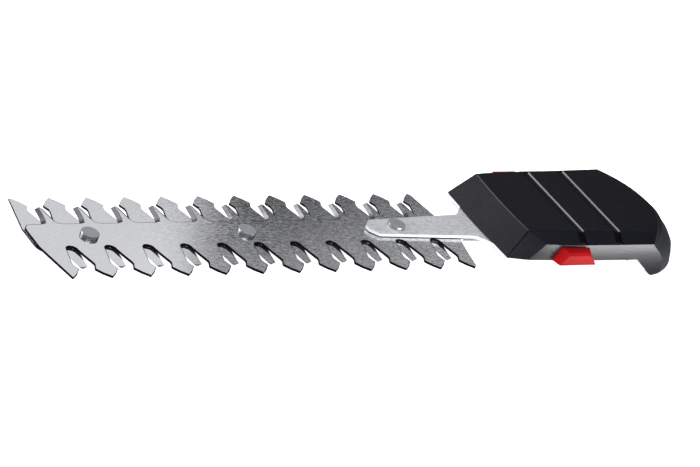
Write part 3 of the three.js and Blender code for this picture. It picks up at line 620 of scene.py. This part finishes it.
# ---- base plate ----
def base_plate():
    """The tongue and plate in one sheet, with a narrow rebate round its lower edge."""
    half = TONGUE_NOSE + TONGUE_FLARE + PLATE_BACK
    inner = [(x + (PLATE_REBATE if x < REBATE_NOSE_X else 0), y - PLATE_REBATE) for x, y in half]
    step = PLATE_LOW.z + PLATE_REBATE
    levels = [(inner, PLATE_LOW.z), (inner, step), (half, step), (half, PLATE_HIGH.z)]
    bm = bmesh.new()
    rings = []
    for points, z in levels:
        outline = points + [(x, -y) for x, y in reversed(points)]
        rings.append([bm.verts.new((x, y, z)) for x, y in outline])
    bm.faces.new(rings[0])
    bm.faces.new(rings[-1])
    for a, b in zip(rings, rings[1:]):
        for i in range(len(a)):
            j = (i + 1) % len(a)
            bm.faces.new((a[i], a[j], b[j], b[i]))
    plate = object_from("base_plate_brushed", bm)
    low, high = PLATE_LOW.z - 1, PLATE_HIGH.z + 1
    carve(plate, disc(SOCKET_R, CRANK_X, 0, low, high), disc(RIVET_HOLE_R, rivet_x("rear"), 0, low, high))
    for side in (-1, 1):
        y0, y1 = sorted(side * y for y in POST_Y)
        rivet_hole = disc(RIVET_HOLE_R, SHANK_RIVET[0], side * SHANK_RIVET[1], low, high)
        carve(plate, block(*POST_X, y0, y1, low, high), rivet_hole)
    for i in range(4):
        x0, x1 = box_mm(f"cover_screw_{i + 1}")
        carve(plate, disc(SCREW_HOLE_R, (x0.x + x1.x) / 2, (x0.y + x1.y) / 2, low, high))
    # Upright faces above the rebate get the painted highlight, those in the rebate the painted shade line;
    # the flat faces keep the plate steel.
    for polygon in plate.data.polygons:
        upright = abs(polygon.normal.z) < 0.5
        in_rebate = polygon.center.z < step * MM
        polygon.material_index = 2 if upright and in_rebate else 1 if upright else 0
    soften(plate, 0.08, 1)
    return finish_piece(plate, "housing", "plate_steel", "base_plate", PLATE_STEEL, EDGE_PAINTED_HIGHLIGHT, EDGE_PAINTED_SHADE)


# ---- housing ----
def between(a, b, share):
    return a + (b - a) * share


def crown_half(x):
    """Half width of the top face at x."""
    if x <= WAIST_X:
        return between(FRONT_CROWN[1], WAIST_CROWN_HALF, (x - FRONT_CROWN[0]) / (WAIST_X - FRONT_CROWN[0]))
    _, side_x, half, _ = CROWN_BACK
    return between(WAIST_CROWN_HALF, half, (x - WAIST_X) / (side_x - WAIST_X))


def shoulder_half(x):
    """Half width at the foot of the side chamfer at x."""
    if x <= WAIST_X:
        share = (x - CORNER_SHOULDER[0]) / (WAIST_X - CORNER_SHOULDER[0])
        return between(CORNER_SHOULDER[1], WAIST_SHOULDER_HALF, share)
    _, side_x, half, _ = SHOULDER_BACK
    return between(WAIST_SHOULDER_HALF, half, (x - WAIST_X) / (side_x - WAIST_X))


def front_bow(level, share):
    return FRONT_BOWS[level] * (1 - share * share)


def back_point(turn, back_x, side_x, half, power):
    """A point of the rounded back; turn runs from -90 degrees at -Y to 90 at +Y."""
    s = math.sin(turn)
    y = math.copysign(half * abs(s) ** (2 / power), s)
    return back_x - (back_x - side_x) * s * s, y


def cover_rows():
    """Rows of (x, y, z) across the cover, from the front foot over the top to the back edge."""
    shares = [2 * j / ACROSS - 1 for j in range(ACROSS + 1)]
    z0 = BLADE_Z
    crown = z0 + CROWN_Z
    edge = z0 + SHOULDER_Z + SEAM
    rows = [[(FRONT_FOOT[0] - front_bow(0, s), (FRONT_FOOT[1] - 0.2) * s, z0 + FRONT_FOOT_RISE)
             for s in shares]]
    for back, down in ((-CREASE * 0.6, CREASE * 0.8), (CREASE, 0)):
        rows.append([(FRONT_CROWN[0] - front_bow(1, s) + back, (FRONT_CROWN[1] - 0.2) * s, crown - down)
                     for s in shares])

    def straight(x, depth):
        half = crown_half(x) - CROWN_SLOPE * depth
        row = [(x, half * s, crown - depth) for s in shares]
        outer = shoulder_half(x) - CHAMFER_SLOPE * depth
        return [(x, -outer, edge)] + row + [(x, outer, edge)]

    stations = [(CORNER_SHOULDER[0], 0)]
    for end in GROOVE_ENDS:
        start = end - GROOVE_WIDTH
        floor_xs = (start + GROOVE_WALL, start + GROOVE_SHADE, end - GROOVE_LEAN)
        stations += [(start, 0)] + [(x, GROOVE_DEPTH) for x in floor_xs] + [(end, 0)]
    rows += [straight(x, depth) for x, depth in stations]
    return rows, shares, crown, edge


def cover_shell():
    rows, shares, crown, edge = cover_rows()
    bm = bmesh.new()
    made = [[bm.verts.new(p) for p in row] for row in rows]
    foot, lip, crease, first = made[:4]
    # The front face keeps the black plastic; the strip from lip to crease gets the lighter ramp material, a
    # painted highlight along the crease.
    for part, low, high in ((0, foot, lip), (1, lip, crease)):
        for j in range(ACROSS):
            face = bm.faces.new((low[j], low[j + 1], high[j + 1], high[j]))
            face.material_index = part
    for j in range(ACROSS):
        bm.faces.new((crease[j], crease[j + 1], first[j + 2], first[j + 1]))
    bm.faces.new((lip[0], crease[0], first[1], first[0]))
    bm.faces.new((lip[-1], first[-1], first[-2], crease[-1]))
    for k, (low, high) in enumerate(zip(made[3:], made[4:])):
        part = k % 5
        for j in range(ACROSS + 2):
            face = bm.faces.new((low[j], low[j + 1], high[j + 1], high[j]))
            # In each groove the front wall and the floor strip beside it get painted shade, as do the floor
            # and ramp across the chamfers; the ramp on the top gets the painted highlight.
            on_chamfer = j in (0, ACROSS + 1)
            if part in (1, 2) or part in (3, 4) and on_chamfer:
                face.material_index = 2
            elif part == 4:
                face.material_index = 1
    turns = [s * math.pi / 2 for s in shares]
    middle_z = between(crown, edge, 0.5)
    crown_arc = [bm.verts.new((*back_point(t, *CROWN_BACK), crown)) for t in turns]
    last = made[-1]
    for j in range(ACROSS):
        bm.faces.new((last[j + 1], last[j + 2], crown_arc[j + 1], crown_arc[j]))
    shoulder_arc = [bm.verts.new((*back_point(t, *SHOULDER_BACK), edge)) for t in turns]
    middle_arc = [bm.verts.new((*back_point(t, *MIDDLE_BACK), middle_z)) for t in turns]
    bm.faces.new((last[0], last[1], crown_arc[0], middle_arc[0], shoulder_arc[0]))
    bm.faces.new((last[-1], shoulder_arc[-1], middle_arc[-1], crown_arc[-1], last[-2]))
    for low, high in ((crown_arc, middle_arc), (middle_arc, shoulder_arc)):
        for j in range(ACROSS):
            bm.faces.new((low[j], low[j + 1], high[j + 1], high[j]))
    cover = object_from("cover_moulded", bm)
    thicken(cover, COVER_WALL)
    soften(cover, 0.14, 2, 20)
    return finish_piece(cover, "housing", "cover_plastic", "cover_shell", BLACK, RAMP_PAINTED_HIGHLIGHT, GROOVE_PAINTED_SHADE)


def thicken(obj, depth):
    """Turns an open skin into a closed wall that grows inwards."""
    modifier = obj.modifiers.new("wall", "SOLIDIFY")
    modifier.thickness = depth * MM
    modifier.offset = -1
    modifier.use_even_offset = True
    return bake(obj)


def lower_profile(share):
    """(z, side x, half width, rearmost x, power) from the foot of the hook, share 0, to the shoulder, 1."""
    keys = [
        (0.0, HOOK_Z, 133.2, 25.8, 147.6, 4.0),
        (0.35, -1.5, 132.4, 25.9, 147.9, 3.1),
        (0.55, FOOT_Z, 131.2, 25.9, 147.8, 2.6),
        (0.75, 4.8, 128.4, 26.0, 145.6, 2.4),
        (0.9, 7.2, 125.3, 26.05, 143.1, 2.2),
        (1.0, SHOULDER_Z, 123.4, 26.1, 141.4, 2.05),
    ]
    for a, b in zip(keys, keys[1:]):
        if share <= b[0] + 1e-9:
            t = (share - a[0]) / (b[0] - a[0])
            return [between(p, q, t) for p, q in zip(a[1:], b[1:])]
    return list(keys[-1][1:])


def round_foot(obj, radius):
    """Rounds the outer bottom edge of the hook, between its walls and its flat foot."""
    bm = bmesh.new()
    bm.from_mesh(obj.data)
    middle = Vector((100 * MM, 0, 0))
    rim = []
    for edge in bm.edges:
        if len(edge.link_faces) != 2 or max(v.co.z for v in edge.verts) > 0.05 * MM:
            continue
        down = min(face.normal.z for face in edge.link_faces)
        wall = max(edge.link_faces, key=lambda face: face.normal.z)
        if down < -0.9 and abs(wall.normal.z) < 0.5 and wall.normal.dot(edge.verts[0].co - middle) > 0:
            rim.append(edge)
    bmesh.ops.bevel(bm, geom=rim, offset=radius * MM, segments=4, profile=0.5, affect="EDGES")
    bm.to_mesh(obj.data)
    bm.free()


def lower_housing():
    z0 = BLADE_Z
    bm = bmesh.new()
    columns = []

    def rise_of(z):
        return (z - FOOT_Z) / (SHOULDER_Z - FOOT_Z)

    def column(points):
        columns.append([bm.verts.new(p) for p in points])

    def corner(side):
        points = []
        for share in HOUSING_SHARES:
            z = lower_profile(share)[0]
            rise = rise_of(z)
            height = between(FRONT_FOOT_RISE, CROWN_Z - CORNER_DROP, rise)
            run = (height - FRONT_FOOT_RISE) / (CROWN_Z - FRONT_FOOT_RISE)
            x = between(FRONT_FOOT[0], FRONT_CROWN[0], run) + 0.2
            y = between(FRONT_FOOT[1], FRONT_CROWN[1], run) + 0.12
            points.append((x, side * y, z0 + height))
        return points

    def facet(side):
        points = []
        for share in HOUSING_SHARES:
            z = lower_profile(share)[0]
            rise = rise_of(z)
            points.append((between(CORNER_FOOT[0], CORNER_SHOULDER[0], rise),
                           side * between(CORNER_FOOT[1], CORNER_SHOULDER[1], rise), z0 + z))
        return points

    def wall(side, x):
        points = []
        for share in HOUSING_SHARES:
            z, _, half, _, _ = lower_profile(share)
            t = (x - 67) / (130 - 67)
            near_waist = between(25.5, WAIST_SHOULDER_HALF, rise_of(z))
            inner = near_waist if x < WAIST_X + 1 else between(25.6, half, t)
            points.append((x, side * inner, z0 + z))
        return points

    column(corner(-1))
    column(facet(-1))
    for x in (WAIST_X, MID_WALL_X):
        column(wall(-1, x))
    for i in range(AROUND_BACK + 1):
        turn = math.pi * (i / AROUND_BACK - 0.5)
        points = []
        for share in HOUSING_SHARES:
            z, side_x, half, back_x, power = lower_profile(share)
            points.append((*back_point(turn, back_x, side_x, half, power), z0 + z))
        column(points)
    for x in (MID_WALL_X, WAIST_X):
        column(wall(1, x))
    column(facet(1))
    column(corner(1))
    for a, b in zip(columns, columns[1:]):
        for i in range(len(HOUSING_SHARES) - 1):
            face = bm.faces.new((a[i], b[i], b[i + 1], a[i + 1]))
            face.material_index = 1 if a is columns[0] or b is columns[-1] else 0
    housing = object_from("lower_housing_moulded", bm)
    thicken(housing, WALL)
    under = [(0, -40), (LEG_FOOT_X + 3.2, -40), (LEG_FOOT_X + 3.2, -0.01), (LEG_FOOT_X + 1.6, 0.2)]
    under += [(LEG_FOOT_X + 0.5, 0.75), (LEG_FOOT_X - 0.4, 1.7), (LEG_TOP[0], z0 + LEG_TOP[1])]
    under += [(0, z0 + LEG_TOP[1])]
    carve(housing, prism("cutter", under, -FAR, FAR, "Y"))
    carve(housing, prism("cutter", [(0, -40), (BEYOND, -40), (BEYOND, 0), (0, 0)], -FAR, FAR, "Y"))
    round_foot(housing, FOOT_ROUND)
    window = [(BUTTON_LOW.x - 0.25, BUTTON_LOW.z - 0.2), (BUTTON_HIGH.x + 0.25, BUTTON_LOW.z - 0.2),
              (BUTTON_HIGH.x - 4.5, BUTTON_HIGH.z + 0.25), (BUTTON_LOW.x + 3.0, BUTTON_HIGH.z + 0.25)]
    carve(housing, prism("cutter", window, 20, 30, "Y"), prism("cutter", window, -30, -20, "Y"))
    soften(housing, 0.2, 2, 25)
    return finish_piece(housing, "housing", "frame_plastic", "lower_housing", FRAME_BLACK, BLACK)


# ---- buttons ----
def button(name, side):
    low, high = box_mm(f"release_button_{name}")
    face_y = max(abs(low.y), abs(high.y))
    middle = (low.x + high.x) / 2
    z0 = BLADE_Z
    bm = bmesh.new()
    made = []
    for y, foot, top, z_low, z_high in BUTTON_RINGS + [(face_y, *BUTTON_FACE)]:
        outline = [(-foot, z_low), (foot, z_low), (top - BUTTON_BACK_SLANT, z_high), (-top, z_high)]
        made.append([bm.verts.new((middle + x, side * y, z0 + z)) for x, z in outline])
    bm.faces.new(made[0])
    bm.faces.new(made[-1])
    for a, b in zip(made, made[1:]):
        for i in range(4):
            j = (i + 1) % 4
            bm.faces.new((a[i], a[j], b[j], b[i]))
    cap = soften(object_from(f"button_cap_{name}", bm), 0.25, 3, 20)
    return finish_piece(cap, f"button_{name}", "button_plastic", f"release_button_{name}", RED)


# ---- carried-over pieces ----
def dress(node, material, width=0.08):
    """Gives a CAD node its material and rounds its edges a little."""
    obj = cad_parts[node]
    obj.data.materials.clear()
    obj.data.materials.append(material)
    if width:
        modifier = obj.modifiers.new("edges", "BEVEL")
        modifier.width = width * MM
        modifier.segments = 1
        modifier.limit_method = "ANGLE"
        modifier.angle_limit = math.radians(40)


def button_spring(side):
    """A coil of wire between the rib and the latch plate, at the CAD spring's length."""
    node = f"button_spring_{side}"
    low, high = box_mm(node)
    centre = (low + high) / 2
    coil = (high.x - low.x) / 2 - SPRING_WIRE_R
    away = 1 if centre.y > 0 else -1
    start, end = sorted((abs(low.y), abs(high.y)))
    reach = end - start - 2 * SPRING_WIRE_R
    steps = SPRING_TURNS * SPRING_STEPS
    bm = bmesh.new()
    rings = []
    for i in range(steps + 1):
        turn = math.tau * i / SPRING_STEPS
        out = Vector((math.cos(turn), 0, math.sin(turn)))
        y = away * (start + SPRING_WIRE_R + reach * i / steps)
        middle = Vector((centre.x, y, centre.z)) + out * coil
        angles = [math.tau * k / SPRING_SIDES for k in range(SPRING_SIDES)]
        rings.append([bm.verts.new(middle + SPRING_WIRE_R * (math.cos(a) * out + math.sin(a) * ALONG_Y))
                      for a in angles])
    for first, second in zip(rings, rings[1:]):
        for k in range(SPRING_SIDES):
            bm.faces.new((first[k - 1], first[k], second[k], second[k - 1]))
    bm.faces.new(rings[0])
    bm.faces.new(rings[-1])
    spring = object_from(f"coil_spring_{side}", bm)
    for polygon in spring.data.polygons:
        polygon.use_smooth = len(polygon.vertices) == 4
    finish_piece(spring, "housing", "spring_steel", node, WIRE_STEEL)
    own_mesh(spring)


def dress_inner_pieces():
    for name in RIVETS:
        dress(f"guide_bush_{name}", BRONZE)
    dress("crank_bearing", BRONZE)
    crank_steel = turned_steel("turned_crank", CRANK_X * MM, 0.0,
                               (0.34, 0.345, 0.36), (0.62, 0.63, 0.65), 0.3)
    for node in ("drive_crank", "thrust_washer"):
        dress(node, crank_steel)
    dress("crank_circlip", WIRE_STEEL)
    dress("grease_felt", FELT, 0)
    for side in ("left", "right"):
        dress(f"latch_plate_{side}", PLATE_STEEL)
        button_spring(side)
        dress(f"shank_rivet_{side}", crank_steel)
    for i in range(4):
        node = f"cover_screw_{i + 1}"
        low, high = box_mm(node)
        x, y = (low.x + high.x) / 2, (low.y + high.y) / 2
        dress(node, turned_steel(f"screw_steel_{i + 1}", x * MM, y * MM,
                                 (0.2, 0.2, 0.21), (0.5, 0.5, 0.52), 0.35))


# ---- studio ----
CAMERA_PLACE = Vector((-0.89946, -0.98937, 0.70502))
CAMERA_RIGHT = Vector((0.80454, -0.49545, 0.32747))
CAMERA_FORWARD = Vector((0.59370, 0.65684, -0.46485))
CAMERA_LENS = 203.7

# The room's dark wall: the way it lies, where it fades in and out, and the light of room and wall.
DARK_WALL = (0.594, 0.657, 0.465)
WALL_FADE = (0.45, 0.8)
ROOM_LIGHT, WALL_LIGHT = 0.42, 0.08

# A row of narrow strips that the near teeth mirror.
NEAR_TEETH_PLACE = Vector((0.568, 0.610, 0.457))
NEAR_TEETH_STEP = Vector((0.0085, -0.0334, 0.0363))
NEAR_TEETH_SIZE, NEAR_TEETH_POWER, NEAR_TEETH_ROLL = (0.03, 0.3), 0.023, -55


def camera():
    data = bpy.data.cameras.new("camera")
    data.lens = CAMERA_LENS
    data.sensor_width = 36
    data.clip_end = 20
    obj = link(bpy.data.objects.new("camera", data))
    forward = CAMERA_FORWARD.normalized()
    right = (CAMERA_RIGHT - CAMERA_RIGHT.dot(forward) * forward).normalized()
    up = right.cross(forward)
    turn = Matrix((right, up, -forward)).transposed()
    obj.matrix_world = Matrix.Translation(CAMERA_PLACE) @ turn.to_4x4()
    bpy.context.scene.camera = obj


def panel(name, place, target, size, power, roll=0.0):
    """A soft rectangular lamp at place, facing target and turned by roll degrees about that line."""
    data = bpy.data.lights.new(name, "AREA")
    data.shape = "RECTANGLE"
    data.size, data.size_y = size
    data.energy = power
    obj = link(bpy.data.objects.new(name, data))
    obj.location = place
    facing = (Vector(target) - Vector(place)).to_track_quat("-Z", "Y")
    obj.rotation_euler = (facing @ Quaternion((0, 0, 1), math.radians(roll))).to_euler()
    obj.visible_camera = False
    return obj


def floor():
    bm = bmesh.new()
    bmesh.ops.create_grid(bm, x_segments=1, y_segments=1, size=6000)
    ground = object_from("floor", bm)
    n = Nodes("pale_floor")
    drift = n.noise((3, 3, 3), 2)
    n.join(n.blend(drift, (0.86, 0.86, 0.86), (0.9, 0.9, 0.9)), "Base Color")
    n.set(Roughness=0.9, Emission_Strength=1.0)
    n.shader.inputs["Emission Color"].default_value = (1, 1, 1, 1)
    ground.data.materials.append(n.material)
    ground.visible_glossy = False


def open_room():
    """A soft pale room, with a dark wall behind the tip that the blade's ground face mirrors."""
    world = bpy.data.worlds.new("studio")
    world.use_nodes = True
    tree = world.node_tree
    background = tree.nodes["Background"]
    background.inputs["Color"].default_value = (0.8, 0.83, 0.9, 1)
    toward = tree.nodes.new("ShaderNodeVectorMath")
    toward.operation = "DOT_PRODUCT"
    toward.inputs[1].default_value = DARK_WALL
    tree.links.new(tree.nodes.new("ShaderNodeTexCoord").outputs["Generated"], toward.inputs[0])
    remap = tree.nodes.new("ShaderNodeMapRange")
    remap.inputs["From Min"].default_value, remap.inputs["From Max"].default_value = WALL_FADE
    remap.inputs["To Min"].default_value = ROOM_LIGHT
    remap.inputs["To Max"].default_value = WALL_LIGHT
    tree.links.new(toward.outputs["Value"], remap.inputs["Value"])
    tree.links.new(remap.outputs["Result"], background.inputs["Strength"])
    return world


def studio():
    """A soft key above, and small strips placed for what the steel and the edges mirror."""
    scene = bpy.context.scene
    scene.view_settings.view_transform = "Standard"
    scene.world = open_room()
    floor()
    panel("key", (-0.35, -0.5, 1.5), (0, 0, 0), (0.9, 0.9), 23)
    panel("tip_reflector", (0.313, 0.606, 0.47), (0.003, -0.074, 0), (0.2, 0.2), 0.133)
    panel("bevel_strip", (-0.072, 0.797, 0.567), (-0.036, 0.013, 0.0063), (0.067, 0.2), 0.055)
    panel("dim_bevel_strip", (-0.175, 0.797, 0.567), (-0.139, 0.013, 0.0063), (0.13, 0.2), 0.03)
    panel("crease_strip", (0.05, 0.66, 0.77), (0.062, 0, 0.018), (0.2, 0.16), 0.25)
    panel("front_strip", (-0.55, 0.657, 0.46), (0.06, 0, 0.015), (0.3, 0.2), 1.1)
    for i in range(4):
        place = NEAR_TEETH_PLACE + NEAR_TEETH_STEP * i
        panel(f"near_teeth_reflector_{i + 1}", place, place - NEAR_TEETH_PLACE,
              NEAR_TEETH_SIZE, NEAR_TEETH_POWER, NEAR_TEETH_ROLL)
    panel("side_kicker", (0.130, -0.054, 0.0012), (0.130, -0.054, 1), (0.085, 0.024), 0.055)
    panel("tongue_kicker", (0.028, -0.062, 0.012), (0.028, 0, 0.0075), (0.06, 0.01), 0.02)
    panel("groove_strip", (-0.654, 0.657, 0.142), (0.09, 0, 0.015), (0.5, 0.3), 3.3)


upper_blade()
lower_blade()
for rivet in RIVETS:
    blade_rivet(rivet)
    rivet_washer(rivet)
base_plate()
cover_shell()
lower_housing()
button("left", 1)
button("right", -1)
dress_inner_pieces()
camera()
studio()
